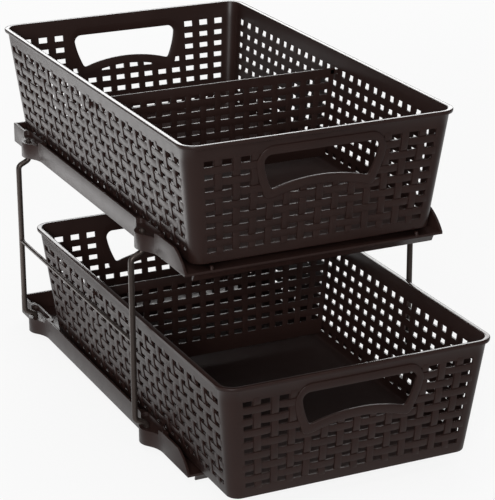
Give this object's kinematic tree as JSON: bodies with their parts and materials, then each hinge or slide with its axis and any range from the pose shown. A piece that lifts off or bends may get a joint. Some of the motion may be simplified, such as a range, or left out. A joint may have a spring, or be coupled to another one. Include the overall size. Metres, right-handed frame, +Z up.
{
  "type": "pull out cabinet basket",
  "caption": "Two-tier cabinet organizer: woven-look plastic baskets with hand openings and dividers slide on plastic trays, which are joined by bent wire legs.",
  "frame": {"origin": "on the surface that it stands on, under the middle of the whole outline, with the lower basket drawn out by 67.5 mm as in the picture", "axes": "+X to the right across the front, as seen from in front, +Y from the front to the back, +Z up"},
  "size_m": [0.2614, 0.4894, 0.2856],
  "materials": {
    "basket_plastic": "satin dark brown",
    "tray_plastic": "satin dark brown",
    "wire": "satin dark bronze"
  },
  "bodies": {
    "stand": {"upper_tray": "tray_plastic", "lower_tray": "tray_plastic", "left_front_leg": "wire", "left_rear_leg": "wire", "right_front_leg": "wire", "right_rear_leg": "wire", "left_side_rail": "wire", "right_side_rail": "wire"},
    "upper_drawer": {"upper_basket": "basket_plastic", "upper_divider": "basket_plastic"},
    "lower_drawer": {"lower_basket": "basket_plastic", "lower_divider": "basket_plastic"}
  },
  "joints": [
    {"name": "upper_basket_slide", "type": "slide", "parent": "stand", "child": "upper_drawer", "axis": [0, -1, 0], "range_m": [0, 0.175]},
    {"name": "lower_basket_slide", "type": "slide", "parent": "stand", "child": "lower_drawer", "axis": [0, -1, 0], "range_m": [-0.0675, 0.1075]}
  ]
}
